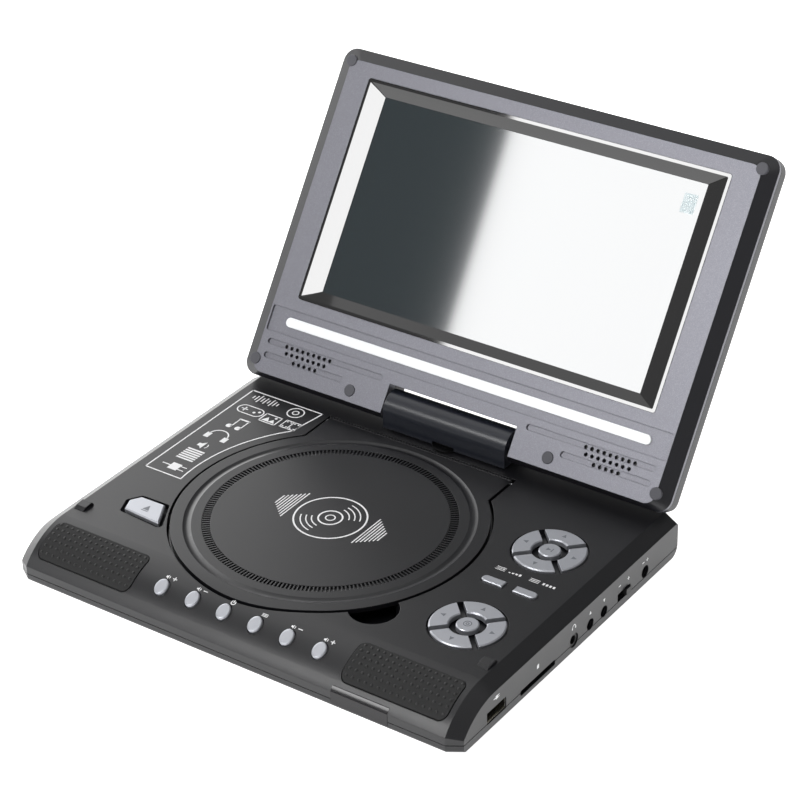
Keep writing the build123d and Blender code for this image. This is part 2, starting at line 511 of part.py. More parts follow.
# ---- hinge block ----
def hinge_block():
    """Cover, bracket, tilt shaft and swivel post: these turn together on the base."""
    low = POST_TOP_Z
    half_round = bar(-BLOCK_HALF_X, BLOCK_HALF_X, TILT_Y, TILT_Z, BLOCK_R)
    legs = block(-BLOCK_HALF_X, BLOCK_HALF_X, TILT_Y - BLOCK_R, TILT_Y + BLOCK_R, low, TILT_Z)
    inner = BLOCK_HALF_X - BLOCK_WALL
    room = bar(-inner, inner, TILT_Y, TILT_Z, BLOCK_R - BLOCK_WALL)
    room += block(-inner, inner, TILT_Y - BLOCK_R + BLOCK_WALL, TILT_Y + BLOCK_R - BLOCK_WALL, 0, TILT_Z)
    cover = half_round + legs - room - bar(-50, 50, TILT_Y, TILT_Z, SHAFT_R)
    cover -= rod(0, SWIVEL_Y, 0, low + 1.5, NECK_R + 0.1)
    save("hinge_cover", cover)
    y0, y1 = TILT_Y - BLOCK_R + BLOCK_WALL + 0.05, TILT_Y + BLOCK_R - BLOCK_WALL - 0.05
    bracket = block(-inner + 0.1, inner - 0.1, y0, y1, low + 0.1, low + 1.6)
    for x in (-24, 24):
        bracket += block(x - 1.5, x + 1.5, TILT_Y - 4.0, TILT_Y + 4.0, low + 1.6, TILT_Z + 3.6)
    bracket -= bar(-50, 50, TILT_Y, TILT_Z, SHAFT_R)
    bracket += rod(0, SWIVEL_Y, TOP_Z + 0.1, low, NECK_R) + rod(0, SWIVEL_Y, 5.6, TOP_Z + 0.1, SWIVEL_R)
    bracket += rod(0, SWIVEL_Y, low, low + 0.1, 3.0)
    bracket -= rod(0, SWIVEL_Y, 5.9, 6.9, 10) - rod(0, SWIVEL_Y, 5.9, 6.9, CLIP_R)
    save("swivel_bracket", bracket)
    save("tilt_shaft", bar(-SHAFT_HALF, SHAFT_HALF, TILT_Y, TILT_Z, SHAFT_R))
    save("swivel_clip", rod(0, SWIVEL_Y, 5.95, 6.85, 4.6) - rod(0, SWIVEL_Y, 0, 10, CLIP_R))


# ---- screen ----
LEAN = radians(OPEN_ANGLE - 90)
SCREEN_PLACE = Plane(
    origin=(0, TILT_Y, TILT_Z), x_dir=(1, 0, 0), z_dir=(0, -cos(LEAN), sin(LEAN))
).location


def screen_outline(inset):
    """The screen's outer edge, moved in by inset."""
    x = SCREEN_HALF_X - inset
    return rounded(-x, x, SCREEN_U0 + inset, SCREEN_U1 - inset, SCREEN_CORNER - inset)


def bezel_taper(inset, w0, w1):
    """The sloped rim from the screen's outer edge at w0 to the edge of its flat face at w1."""
    x = FACE_HALF_X - inset
    face = rounded(-x, x, FACE_U0 + inset, FACE_U1 - inset, SCREEN_CORNER - 1.5 - inset)
    return loft([Pos(0, 0, w0) * screen_outline(inset), Pos(0, 0, w1) * face], ruled=True)


def screen_bezel():
    """Front of the screen: bevelled rim, recessed band, grille slots, sound holes and hinge notch."""
    rim = prism(screen_outline(0), PART_W, RIM_W)
    rim += bezel_taper(0, RIM_W, FACE_W)
    t = WALL
    room = prism(screen_outline(t), PART_W - 1, RIM_W - 1.2) + bezel_taper(t, RIM_W - 1.2, FACE_W - t)
    notch = block(-NOTCH_HALF_X, NOTCH_HALF_X, -20, NOTCH_U, -20, 20)
    frame_hole = prism(rounded(-FRAME_HALF_X, FRAME_HALF_X, FRAME_U0, FRAME_U1, 1.2), 0, 20)
    walls = block(-NOTCH_HALF_X - t, NOTCH_HALF_X + t, SCREEN_U0 + 0.5, NOTCH_U + t, PART_W, FACE_W - 1)
    bezel = rim - room + (walls & rim)
    for x, u in SCREEN_POSTS:
        bezel += rod(x, u, PART_W, FACE_W - 1, 2.6) - rod(x, u, PART_W - 1, 3.6, 1.0)
    bezel -= notch + frame_hole
    band = rounded(-FACE_HALF_X + 0.8, FACE_HALF_X - 0.8, BAND_U0, BAND_U1, 0.6)
    bezel -= prism(band, FACE_W - BAND_DEPTH, 20)
    for x0, x1, u in SLOTS:
        for sign in (-1, 1):
            slot = Pos(sign * (x0 + x1) / 2, u) * SlotOverall(x1 - x0, SLOT_W)
            bezel -= prism(slot, FACE_W - SLOT_DEPTH, 20)
    for sign in (-1, 1):
        for count, centre, u in SOUND_ROWS:
            for i in range(count):
                x = sign * (centre + (i - (count - 1) / 2) * SOUND_PITCH)
                bezel -= rod(x, u, 0, 20, SOUND_R)
        bezel -= bar(sign * 33 - 3, sign * 33 + 3, 0, 0, SHAFT_R + 0.5)
    for x, u in DOTS:
        bezel -= rod(x, u, FACE_W - 1.0, 20, DOT_R)
    return bezel.solids().sort_by(SortBy.VOLUME)[-1]


def below_level(z):
    """In the screen's own plane, everything lower than height z when the screen leans at its stored angle."""
    depth = TILT_Z - z
    slab = Box(300, 60, 60, align=(Align.CENTER, Align.CENTER, Align.MAX))
    return Pos(0, -cos(LEAN) * depth, -sin(LEAN) * depth) * Rot(OPEN_ANGLE - 180, 0, 0) * slab


def screen_back_cover():
    """Back of the screen: a rounded shell, cut away low down so that it clears the base."""
    high = PART_W - 0.2
    full = prism(screen_outline(0), BACK_W, high)
    full = fillet(full.faces().sort_by(Axis.Z)[0].edges(), 4.0)
    t = WALL
    room = prism(screen_outline(t), BACK_W + t, 20)
    under = below_level(SCREEN_LOW_Z)
    cover = full - under
    cover -= room - below_level(SCREEN_LOW_Z + SOLE_T)
    walls = block(-NOTCH_HALF_X - t, NOTCH_HALF_X + t, -20, NOTCH_U + t, BACK_W, high) & full - under
    cover += walls
    for x, u in SCREEN_POSTS:
        cover += rod(x, u, BACK_W + 1, high, 3.4)
        cover -= rod(x, u, BACK_W - 1, BACK_W + 2.4, HEAD_R + 0.2) + rod(x, u, BACK_W - 1, 20, 1.3)
    cover -= block(-NOTCH_HALF_X, NOTCH_HALF_X, -20, NOTCH_U, -20, 20)
    for sign in (-1, 1):
        cover -= bar(sign * 33 - 3, sign * 33 + 3, 0, 0, SHAFT_R + 0.5)
    return cover.solids().sort_by(SortBy.VOLUME)[-1]


def screen_frame():
    """Glossy mitred surround of the picture."""
    gap = 0.1
    x, u0, u1 = FRAME_HALF_X - gap, FRAME_U0 + gap, FRAME_U1 - gap
    lip, edge = 1.3, 0.15
    ring = prism(rounded(-x, x, u0, u1, 1.1), LCD_W, FACE_W + edge)
    px, p0, p1 = PICTURE_X / 2, LCD_U, LCD_U + PICTURE_Y
    sill = Pos(0, 0, LCD_W + 0.25) * rounded(-px, px, p0, p1, 0.2)
    mouth = Pos(0, 0, FACE_W + edge) * rounded(-x + lip, x - lip, u0 + lip, u1 - lip, 0.6)
    pocket = loft([sill, mouth], ruled=True)
    return ring - pocket - prism(Pos(0, (p0 + p1) / 2) * Rectangle(2 * px, p1 - p0), 0, LCD_W + 0.3)


def screen():
    """Everything that tilts, built flat and then leaned back to the stored angle."""
    at = SCREEN_PLACE
    save("screen_bezel", screen_bezel(), place=at)
    save("screen_back_cover", screen_back_cover(), place=at)
    save("screen_frame", screen_frame(), place=at)
    px, p0, p1 = PICTURE_X / 2, LCD_U, LCD_U + PICTURE_Y
    save("lcd_panel", block(-px - 4.5, px + 4.5, p0 - 4, p1 + 4, LCD_W - 5.6, LCD_W), place=at)
    strip_outline = Pos(0, STRIP_U) * SlotOverall(2 * STRIP_HALF_X, STRIP_W)
    strip = prism(strip_outline, FACE_W - BAND_DEPTH, FACE_W + STRIP_PROUD)
    save("trim_strip", chamfer(strip.faces().sort_by(Axis.Z)[-1].edges(), 0.25), place=at)
    save("display_board", block(-26, 26, 12, 30, -4.6, -3.4) + block(-8, 8, 16, 24, -3.4, -2.4), place=at)
    speakers = [block(s * 73.6 - 15, s * 73.6 + 15, 0.2, 13.0, -1.5, 3.4) for s in (-1, 1)]
    save("screen_speakers", *speakers, place=at)
    dots = [rod(x, u, FACE_W - 1.0, FACE_W + DOT_PROUD, DOT_R) for x, u in DOTS]
    save("screen_dots", *[chamfer(d.edges().sort_by(Axis.Z)[-1], 0.15) for d in dots], place=at)
    head_w = BACK_W + 2.4
    screws = [rod(x, u, head_w - 1.0, head_w, HEAD_R) + rod(x, u, head_w, 3.4, 1.0) for x, u in SCREEN_POSTS]
    save("screen_screws", *screws, place=at)
    arms = []
    for x in (-39.1, 39.1):
        arm = bar(x - 2.9, x + 2.9, 0, 0, ARM_R) + block(x - 2.9, x + 2.9, 0, 20, -3.4, 0.6)
        arms.append(arm - bar(-60, 60, 0, 0, SHAFT_R + RUNNING))
    save("hinge_arms", *arms, place=at)


save("base_top_shell", base_top_shell())
save("base_bottom_shell", base_bottom_shell())
small_base_pieces()
save("disc_lid", disc_lid())
save("lid_hinge_pins", *lid_pins())
save("lid_latch", lid_latch())
disc_drive()
buttons()
electronics()
sockets()
hinge_block()
screen()
print(len(written), "nodes")
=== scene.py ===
"""Portable disc player: finishes, printed marks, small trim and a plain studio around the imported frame.

Everything is in metres in the row frame: X to the player's right, Y to its back, Z up. Sizes are written in
millimetres and turned to metres by MM.
"""
from __future__ import annotations

import json
import logging
import math
from dataclasses import dataclass, field
from enum import Enum
from typing import Any, Iterable, Sequence

import bpy
from mathutils import Matrix, Vector


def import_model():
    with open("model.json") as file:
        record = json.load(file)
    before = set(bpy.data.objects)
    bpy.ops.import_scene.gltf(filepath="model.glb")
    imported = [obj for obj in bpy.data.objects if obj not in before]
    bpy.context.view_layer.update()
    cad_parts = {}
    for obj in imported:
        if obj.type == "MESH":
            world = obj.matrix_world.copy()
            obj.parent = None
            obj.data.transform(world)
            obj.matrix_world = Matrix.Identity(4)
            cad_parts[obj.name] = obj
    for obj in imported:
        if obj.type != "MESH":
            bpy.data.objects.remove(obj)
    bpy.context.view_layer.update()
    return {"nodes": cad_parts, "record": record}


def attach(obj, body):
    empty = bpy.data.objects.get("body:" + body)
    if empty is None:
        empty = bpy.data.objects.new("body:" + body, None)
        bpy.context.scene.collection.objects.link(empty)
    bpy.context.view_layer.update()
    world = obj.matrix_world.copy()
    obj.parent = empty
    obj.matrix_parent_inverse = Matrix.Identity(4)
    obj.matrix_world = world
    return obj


LOG = logging.getLogger("disc_player")
MM = 0.001
MOTTLE_SIZE = 9.0  # how far apart a surface's duller and shinier patches lie, in millimetres
Point = tuple[float, float]


class Body(Enum):
    """The frame's bodies that carry pieces made here."""

    BASE = "base"
    LID = "lid"
    SCREEN = "screen"


class Slot(Enum):
    """The record's material slots named for the pieces made here; nothing reads them, and each piece's
    finish is put on apart.
    """

    PRINT = "white_strip"
    SILVER = "silver"
    LID = "lid"
    GRIP = "grip_rubber"
    PICTURE = "lcd"


# ---- finishes ----
def linear(colour: str) -> tuple[float, float, float, float]:
    """Turn an sRGB hex colour to linear light.

    Args:
        colour: six hex digits after a hash sign.

    Returns:
        Red, green, blue and an alpha of 1.
    """
    parts = [int(colour[i:i + 2], 16) / 255 for i in (1, 3, 5)]
    return tuple(p / 12.92 if p <= 0.04045 else ((p + 0.055) / 1.055) ** 2.4 for p in parts) + (1.0,)


def add_node(
    tree: bpy.types.NodeTree, kind: str, settings: dict[str, Any], links: dict[str, Any]
) -> bpy.types.Node:
    """Add one node.

    Args:
        tree: the node tree that it goes in.
        kind: the node's type name.
        settings: attributes, or input values where the name is an input's.
        links: the output socket that feeds each named or numbered input.

    Returns:
        The new node.
    """
    node = tree.nodes.new(kind)
    for name, value in settings.items():
        if hasattr(node, name):
            setattr(node, name, value)
        else:
            node.inputs[name].default_value = value
    for name, source in links.items():
        tree.links.new(source, node.inputs[name])
    return node


@dataclass(frozen=True)
class Finish:
    """A surface with a fine random grain. Sizes are in millimetres."""

    name: str
    colour: str
    roughness: float
    metallic: float = 0.0
    ior: float = 1.5
    coat: float = 0.0
    coat_roughness: float = 0.05
    grain: float = 0.0
    grain_depth: float = 0.0
    mottle: float = 0.0
    edge: float = 0.0
    alpha: float = 1.0
    glow: float = 0.0

    def height(self, tree: bpy.types.NodeTree, place: bpy.types.NodeSocket) -> bpy.types.NodeSocket:
        """Give the grain's height, from 0 to 1.

        Args:
            tree: the material's node tree.
            place: the point on the surface, in metres.

        Returns:
            The socket that holds the height.
        """
        settings = {"Scale": 1.0 / (self.grain * MM), "Detail": 2.0, "Roughness": 0.6}
        return add_node(tree, "ShaderNodeTexNoise", settings, {"Vector": place}).outputs["Fac"]

    def make(self) -> bpy.types.Material:
        """Build the material.

        Returns:
            The material, ready to be put on a piece.
        """
        material = bpy.data.materials.new(self.name)
        material.use_nodes = True
        tree = material.node_tree
        shader = tree.nodes["Principled BSDF"]
        shader.inputs["Base Color"].default_value = linear(self.colour)
        shader.inputs["Roughness"].default_value = self.roughness
        shader.inputs["Metallic"].default_value = self.metallic
        shader.inputs["Coat Weight"].default_value = self.coat
        shader.inputs["Coat Roughness"].default_value = self.coat_roughness
        shader.inputs["Alpha"].default_value = self.alpha
        shader.inputs["Emission Color"].default_value = linear(self.colour)
        shader.inputs["Emission Strength"].default_value = self.glow
        if self.metallic < 1.0:
            shader.inputs["IOR"].default_value = self.ior
        if not self.grain:
            return material
        place = add_node(tree, "ShaderNodeTexCoord", {}, {}).outputs["Object"]
        height = self.height(tree, place)
        links = {"Height": height}
        if self.edge:
            soft = add_node(tree, "ShaderNodeBevel", {"samples": 4, "Radius": self.edge * MM}, {})
            links["Normal"] = soft.outputs["Normal"]
        bump = add_node(tree, "ShaderNodeBump", {"Strength": 1.0, "Distance": self.grain_depth * MM}, links)
        tree.links.new(bump.outputs["Normal"], shader.inputs["Normal"])
        if self.mottle:
            self.add_mottle(tree, place, shader)
        return material

    def add_mottle(
        self, tree: bpy.types.NodeTree, place: bpy.types.NodeSocket, shader: bpy.types.Node
    ) -> None:
        """Let the roughness wander a little from place to place, as handling and moulding leave it.

        Args:
            tree: the material's node tree.
            place: the point on the surface, in metres.
            shader: the surface shader.
        """
        noise = {"Scale": 1.0 / (MOTTLE_SIZE * MM), "Detail": 3.0}
        broad = add_node(tree, "ShaderNodeTexNoise", noise, {"Vector": place})
        settings = {"To Min": self.roughness - self.mottle, "To Max": self.roughness + self.mottle}
        spread = add_node(tree, "ShaderNodeMapRange", settings, {"Value": broad.outputs["Fac"]})
        tree.links.new(spread.outputs["Result"], shader.inputs["Roughness"])


@dataclass(frozen=True)
class Flake(Finish):
    """Metallic paint: the same body with bright flakes in it. Its cell is one flake's width."""

    cell: float = 0.22
    bright: str = "#96979e"

    def make(self) -> bpy.types.Material:
        """Build the material and mix the flakes' colour in.

        Returns:
            The material, ready to be put on a piece.
        """
        material = Finish.make(self)
        tree = material.node_tree
        shader = tree.nodes["Principled BSDF"]
        place = add_node(tree, "ShaderNodeTexCoord", {}, {}).outputs["Object"]
        cells = add_node(tree, "ShaderNodeTexVoronoi", {"Scale": 1.0 / (self.cell * MM)}, {"Vector": place})
        share = add_node(
            tree, "ShaderNodeMapRange", {"From Min": 0.55, "From Max": 1.0, "To Max": 0.35},
            {"Value": cells.outputs["Color"]},
        )
        mix = add_node(
            tree, "ShaderNodeMix", {"data_type": "RGBA"}, {"Factor": share.outputs["Result"]},
        )
        mix.inputs[6].default_value = linear(self.colour)
        mix.inputs[7].default_value = linear(self.bright)
        tree.links.new(mix.outputs[2], shader.inputs["Base Color"])
        return material


@dataclass(frozen=True)
class Brushed(Finish):
    """Metal drawn or ground one way: the grain is pulled out along X."""

    def height(self, tree: bpy.types.NodeTree, place: bpy.types.NodeSocket) -> bpy.types.NodeSocket:
        """Give the scratches' height, from 0 to 1.

        Args:
            tree: the material's node tree.
            place: the point on the surface, in metres.

        Returns:
            The socket that holds the height.
        """
        pulled = add_node(tree, "ShaderNodeMapping", {}, {"Vector": place})
        pulled.inputs["Scale"].default_value = (0.05, 1.0, 1.0)
        return Finish.height(self, tree, pulled.outputs["Vector"])


# ABS from a spark-eroded mould: a fine grit that breaks the highlights up, drawn coarser than real.
CASING = Finish(
    "abs_spark_eroded_black", "#131316", 0.33, grain=0.55, grain_depth=0.012, mottle=0.03, edge=0.25,
)
# The same ABS from a smoother mould: a tighter, calmer sheen on the lid.
LID = Finish("abs_fine_eroded_black", "#131316", 0.29, grain=0.5, grain_depth=0.008, mottle=0.02, edge=0.2)
# ABS in a plain satin mould for the hinge cover: one long soft highlight.
BLOCK = Finish("abs_satin_black", "#1c1f27", 0.3, grain=0.4, grain_depth=0.004, edge=0.2)
# ABS under grey metallic paint: a gunmetal ground with fine bright flakes.
BEZEL = Flake("abs_gunmetal_paint", "#6b6b72", 0.4, metallic=0.5, grain=0.4, grain_depth=0.002, edge=0.25)
# The bezel's sloped rim in dark satin: painted shade, a dark border round the grey face for the faces that
# lean away from it.
RIM_PAINTED_SHADE = Finish("abs_satin_rim_painted_shade", "#121217", 0.3, grain=0.4, grain_depth=0.004, edge=0.25)
# The back cover's ABS, a shade lighter and rougher than the base.
BACK = Finish("abs_eroded_charcoal", "#232325", 0.42, grain=0.6, grain_depth=0.014, mottle=0.03, edge=0.3)
# Acrylic polished to piano black: a deep mirror over no colour of its own.
MIRROR = Finish("acrylic_piano_black", "#050506", 0.04, ior=1.49, coat=1.0, coat_roughness=0.02)
# Glass over a switched-off picture: nearly black, a little green, with clear reflections.
PICTURE = Finish("glass_over_dark_panel", "#0d1d22", 0.06, ior=1.52, coat=1.0, coat_roughness=0.03)
# Polycarbonate dyed dark purple for infrared light.
WINDOW = Finish("polycarbonate_infrared_dark", "#08050a", 0.12, ior=1.45)
# ABS with silver paint: satin keys with broad soft highlights.
SILVER = Finish(
    "abs_silver_paint", "#b4b6bc", 0.35, metallic=0.7, grain=0.35, grain_depth=0.003, edge=0.25,
)
# Acrylic strip, dyed white right through and polished.
WHITE = Finish("acrylic_white_strip", "#f4f6f8", 0.22, ior=1.49, grain=0.5, grain_depth=0.001, edge=0.15)
# Pad-printed white ink: flat and even.
INK = Finish("ink_pad_printed_white", "#e9e9ea", 0.5)
# Pad-printed grey ink on the silver keys.
GREY_INK = Finish("ink_pad_printed_grey", "#6f7278", 0.5)
# Nitrile rubber, moulded with a matt skin.
GRIP = Finish("nitrile_rubber_matt", "#060607", 0.7, grain=0.4, grain_depth=0.01, edge=0.25)
# The same rubber in the dimples' shade, where the light doesn't reach.
DIMPLE = Finish("nitrile_rubber_dimple", "#040404", 0.5, grain=0.3, grain_depth=0.004)
# Silicone dots, softly grey and quite matt.
DOT = Finish("silicone_grey_matt", "#4a4a50", 0.6, grain=0.3, grain_depth=0.006, edge=0.15)
# Natural rubber feet.
FOOT = Finish("rubber_black_matt", "#101010", 0.8, grain=0.6, grain_depth=0.02)
# Nylon and other black mouldings inside: satin and plain.
NYLON = Finish("nylon_black_moulded", "#0b0b0c", 0.45, grain=0.4, grain_depth=0.006)
# Acetal latch, off-white and waxy.
ACETAL = Finish("acetal_white_moulded", "#d9d8d2", 0.35, grain=0.4, grain_depth=0.003)
# Zinc-plated pressed steel: cool, with a faint roll grain.
PLATE = Brushed("steel_zinc_plated", "#9fa3a8", 0.36, metallic=1.0, grain=0.3, grain_depth=0.003)
# Ground steel shafts and screws.
STEEL = Brushed("steel_ground", "#b4b6b8", 0.25, metallic=1.0, grain=0.2, grain_depth=0.002)
# Nickel-plated socket shells.
NICKEL = Finish("brass_nickel_plated", "#b9b7b0", 0.24, metallic=1.0, grain=0.3, grain_depth=0.001)
# Pressed steel under black lacquer: the neck that shows under the hinge cover.
LACQUER = Finish("steel_black_lacquer", "#060607", 0.35, grain=0.4, grain_depth=0.003)
# Circuit board under green solder mask.
BOARD = Finish("board_green_solder_mask", "#12402a", 0.35, coat=0.3, grain=0.6, grain_depth=0.004)
# Shrink sleeve round the battery cells.
SLEEVE = Finish("pvc_shrink_sleeve_blue", "#1b2747", 0.4, grain=0.8, grain_depth=0.01)
# Clear film tab on the picture, faintly cyan.
TAB = Finish("film_tab_cyan", "#9fd6df", 0.15, alpha=0.12)
# The floor: a matt white sheet, lit evenly from below as on a light table.
FLOOR = Finish("paper_white_matt", "#f2f2f2", 0.9, glow=1.1)

FINISHES: dict[str, Finish] = {
    "casing_top": CASING,
    "casing_bottom": CASING,
    "lid": LID,
    "rubber": FOOT,
    "grip_rubber": GRIP,
    "screen_dot": DOT,
    "window": WINDOW,
    "silver": SILVER,
    "white_strip": WHITE,
    "bezel": BEZEL,
    "back_cover": BACK,
    "frame_gloss": MIRROR,
    "lcd": PICTURE,
    "hinge_plastic": BLOCK,
    "steel": STEEL,
    "zinc": PLATE,
    "black_steel": LACQUER,
    "board": BOARD,
    "black_plastic": NYLON,
    "socket_metal": NICKEL,
    "battery": SLEEVE,
    "white_plastic": ACETAL,
    "knob": NYLON,
}


@dataclass
class Wardrobe:
    """Makes each finish's material once and hands it out."""

    made: dict[str, bpy.types.Material] = field(default_factory=dict)

    def get(self, finish: Finish) -> bpy.types.Material:
        """Give a finish's material, made the first time it is asked for."""
        if finish.name not in self.made:
            self.made[finish.name] = finish.make()
        return self.made[finish.name]

    def dress(self, piece: bpy.types.Object, finish: Finish) -> None:
        """Put one finish on a whole piece."""
        piece.data.materials.clear()
        piece.data.materials.append(self.get(finish))


# ---- building meshes ----
@dataclass
class Sheet:
    """Collects flat shapes and solids, then makes one piece of them. Lengths are in millimetres."""

    name: str
    place: Matrix = field(default_factory=lambda: Matrix.Identity(4))
    film: float = 0.04
    lift: float = 0.01
    points: list[Vector] = field(default_factory=list)
    faces: list[tuple[int, ...]] = field(default_factory=list)

    def poly(self, outline: Sequence[Point]) -> None:
        """Add one flat convex shape, as thick as the film, anticlockwise seen from above.

        Args:
            outline: its corners.
        """
        start, count = len(self.points), len(outline)
        for height in (self.lift, self.lift + self.film):
            self.points += [self.place @ Vector((u, v, height)) for u, v in outline]
        self.faces.append(tuple(start + i for i in reversed(range(count))))
        self.faces.append(tuple(start + count + i for i in range(count)))
        for i in range(count):
            j = (i + 1) % count
            self.faces.append((start + i, start + j, start + count + j, start + count + i))

    def rect(self, x0: float, x1: float, y0: float, y1: float) -> None:
        """Add an upright rectangle."""
        self.poly([(x0, y0), (x1, y0), (x1, y1), (x0, y1)])

    def stroke(self, a: Point, b: Point, width: float) -> None:
        """Add a straight line of the given width, squared off half a width past each end."""
        dx, dy = b[0] - a[0], b[1] - a[1]
        length = math.hypot(dx, dy) or 1.0
        ux, uy = dx / length * width / 2, dy / length * width / 2
        self.poly([
            (a[0] - ux + uy, a[1] - uy - ux), (b[0] + ux + uy, b[1] + uy - ux),
            (b[0] + ux - uy, b[1] + uy + ux), (a[0] - ux - uy, a[1] - uy + ux),
        ])

    def path(self, corners: Sequence[Point], width: float, closed: bool = False) -> None:
        """Add a line through several corners."""
        ends = list(corners[1:]) + ([corners[0]] if closed else [])
        for a, b in zip(corners, ends):
            self.stroke(a, b, width)

    def disc(self, x: float, y: float, r: float, steps: int = 28) -> None:
        """Add a filled circle."""
        turns = [2 * math.pi * i / steps for i in range(steps)]
        self.poly([(x + r * math.cos(t), y + r * math.sin(t)) for t in turns])

    def arc(
        self, x: float, y: float, r: float, start: float, end: float, width: float, steps: int = 32
    ) -> None:
        """Add an arc of a circle, from start to end degrees.

        Args:
            x: the centre's first coordinate.
            y: the centre's second coordinate.
            r: the radius of the arc's middle line.
            start: the angle it starts at.
            end: the angle it ends at, larger than start.
            width: the line's width.
            steps: how many straight pieces make it up.
        """
        for i in range(steps):
            a = math.radians(start + (end - start) * i / steps)
            b = math.radians(start + (end - start) * (i + 1) / steps)
            low, high = r - width / 2, r + width / 2
            corners = ((low, a), (high, a), (high, b), (low, b))
            self.poly([(x + reach * math.cos(turn), y + reach * math.sin(turn)) for reach, turn in corners])

    def finish(self, body: Body, slot: Slot, smooth: bool = False) -> bpy.types.Object:
        """Make the piece and put it on its body.

        Args:
            body: the body that it moves with.
            slot: the record's slot named for it; not used.
            smooth: whether its faces are shaded smooth.

        Returns:
            The new piece.
        """
        mesh = bpy.data.meshes.new(self.name)
        mesh.from_pydata([tuple(p * MM) for p in self.points], [], self.faces)
        mesh.validate()
        mesh.shade_smooth() if smooth else mesh.shade_flat()
        piece = bpy.data.objects.new(self.name, mesh)
        bpy.context.scene.collection.objects.link(piece)
        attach(piece, body.value)
        LOG.info("%s: %d faces on %s", self.name, len(self.faces), body.value)
        return piece


@dataclass
class Signs:
    """Plain pictograms, drawn on a sheet round a centre."""

    sheet: Sheet
    line: float = 0.55

    def plus(self, x: float, y: float, r: float, minus: bool = False) -> None:
        """A plus sign, or a minus sign."""
        self.sheet.stroke((x - r, y), (x + r, y), self.line)
        if not minus:
            self.sheet.stroke((x, y - r), (x, y + r), self.line)

    def arrow(self, x: float, y: float, r: float, turn: float) -> None:
        """A filled triangle that points along turn degrees."""
        corners = [math.radians(turn + a) for a in (0, 130, 230)]
        self.sheet.poly([(x + r * math.cos(c), y + r * math.sin(c)) for c in corners])

    def speaker(self, x: float, y: float, r: float) -> None:
        """A loudspeaker: a box, a cone and one wave."""
        self.sheet.rect(x - r, x - 0.5 * r, y - 0.4 * r, y + 0.4 * r)
        self.sheet.poly([
            (x - 0.5 * r, y - 0.4 * r), (x + 0.1 * r, y - r),
            (x + 0.1 * r, y + r), (x - 0.5 * r, y + 0.4 * r),
        ])
        self.sheet.arc(x, y, 0.8 * r, -45, 45, self.line * 0.7, 6)

    def power(self, x: float, y: float, r: float) -> None:
        """An open circle with a bar in its gap."""
        self.sheet.arc(x, y, r, 125, 415, self.line, 18)
        self.sheet.stroke((x, y + 0.2 * r), (x, y + 1.15 * r), self.line)

    def disc(self, x: float, y: float, r: float) -> None:
        """A disc: rim, hub and hole."""
        self.sheet.arc(x, y, r, 0, 360, self.line)
        self.sheet.arc(x, y, 0.38 * r, 0, 360, self.line, 16)

    def note(self, x: float, y: float, r: float) -> None:
        """A pair of joined notes."""
        for side in (-0.55, 0.55):
            self.sheet.disc(x + side * r - 0.25 * r, y - 0.7 * r, 0.34 * r, 14)
            self.sheet.stroke((x + side * r, y - 0.7 * r), (x + side * r, y + 0.85 * r), self.line)
        self.sheet.stroke((x - 0.55 * r, y + 0.9 * r), (x + 0.55 * r, y + 0.9 * r), 1.6 * self.line)

    def headphones(self, x: float, y: float, r: float) -> None:
        """A headband with two ear pads."""
        self.sheet.arc(x, y, r, 0, 180, self.line, 16)
        for side in (-1, 1):
            self.sheet.rect(x + side * r - 0.28 * r, x + side * r + 0.28 * r, y - 0.75 * r, y + 0.1 * r)

    def film(self, x: float, y: float, r: float) -> None:
        """A strip of film with its holes."""
        for side in (-1, 1):
            self.sheet.stroke((x - r, y + side * 0.75 * r), (x + r, y + side * 0.75 * r), self.line)
            for i in range(4):
                self.sheet.rect(x + (i - 1.7) * 0.5 * r, x + (i - 1.7) * 0.5 * r + 0.2 * r, *sorted(
                    (y + side * 0.4 * r, y + side * 0.58 * r)
                ))
        for side in (-1, 0, 1):
            self.sheet.stroke((x + side * r, y - 0.75 * r), (x + side * r, y + 0.75 * r), self.line * 0.8)

    def picture(self, x: float, y: float, r: float) -> None:
        """A framed landscape: two hills and a sun."""
        low, high = y - 0.75 * r, y + 0.75 * r
        self.sheet.path([(x - r, low), (x + r, low), (x + r, high), (x - r, high)], self.line, closed=True)
        ground = y - 0.55 * r
        self.sheet.poly([(x - 0.8 * r, ground), (x + 0.1 * r, ground), (x - 0.35 * r, y + 0.25 * r)])
        self.sheet.poly([(x, y - 0.55 * r), (x + 0.8 * r, y - 0.55 * r), (x + 0.4 * r, y + 0.05 * r)])
        self.sheet.disc(x + 0.45 * r, y + 0.4 * r, 0.16 * r, 12)

    def grid(self, x: float, y: float, r: float) -> None:
        """A square filled with rows of bars."""
        for i in range(6):
            row = y - r + 0.1 * r + i * 0.36 * r
            self.sheet.rect(x - r, x + r, row, row + 0.22 * r)

    def gamepad(self, x: float, y: float, r: float) -> None:
        """An oval pad with a cross and two buttons."""
        for side in (-1, 1):
            middle = 90 - side * 90
            self.sheet.arc(x + side * 0.6 * r, y, 0.55 * r, middle - 90, middle + 90, self.line, 14)
            edge = y + side * 0.55 * r
            self.sheet.stroke((x - 0.6 * r, edge), (x + 0.6 * r, edge), self.line)
        self.plus(x - 0.55 * r, y, 0.24 * r)
        self.sheet.disc(x + 0.4 * r, y - 0.1 * r, 0.13 * r, 10)
        self.sheet.disc(x + 0.75 * r, y + 0.15 * r, 0.13 * r, 10)

    def wave(self, x: float, y: float, r: float) -> None:
        """A row of level bars."""
        for i, tall in enumerate((0.3, 0.6, 1.0, 0.5, 0.8, 0.4, 0.9, 0.6, 0.3)):
            bar_x = x + (i - 4) * 0.25 * r
            self.sheet.stroke((bar_x, y - 0.42 * r * tall), (bar_x, y + 0.42 * r * tall), self.line)

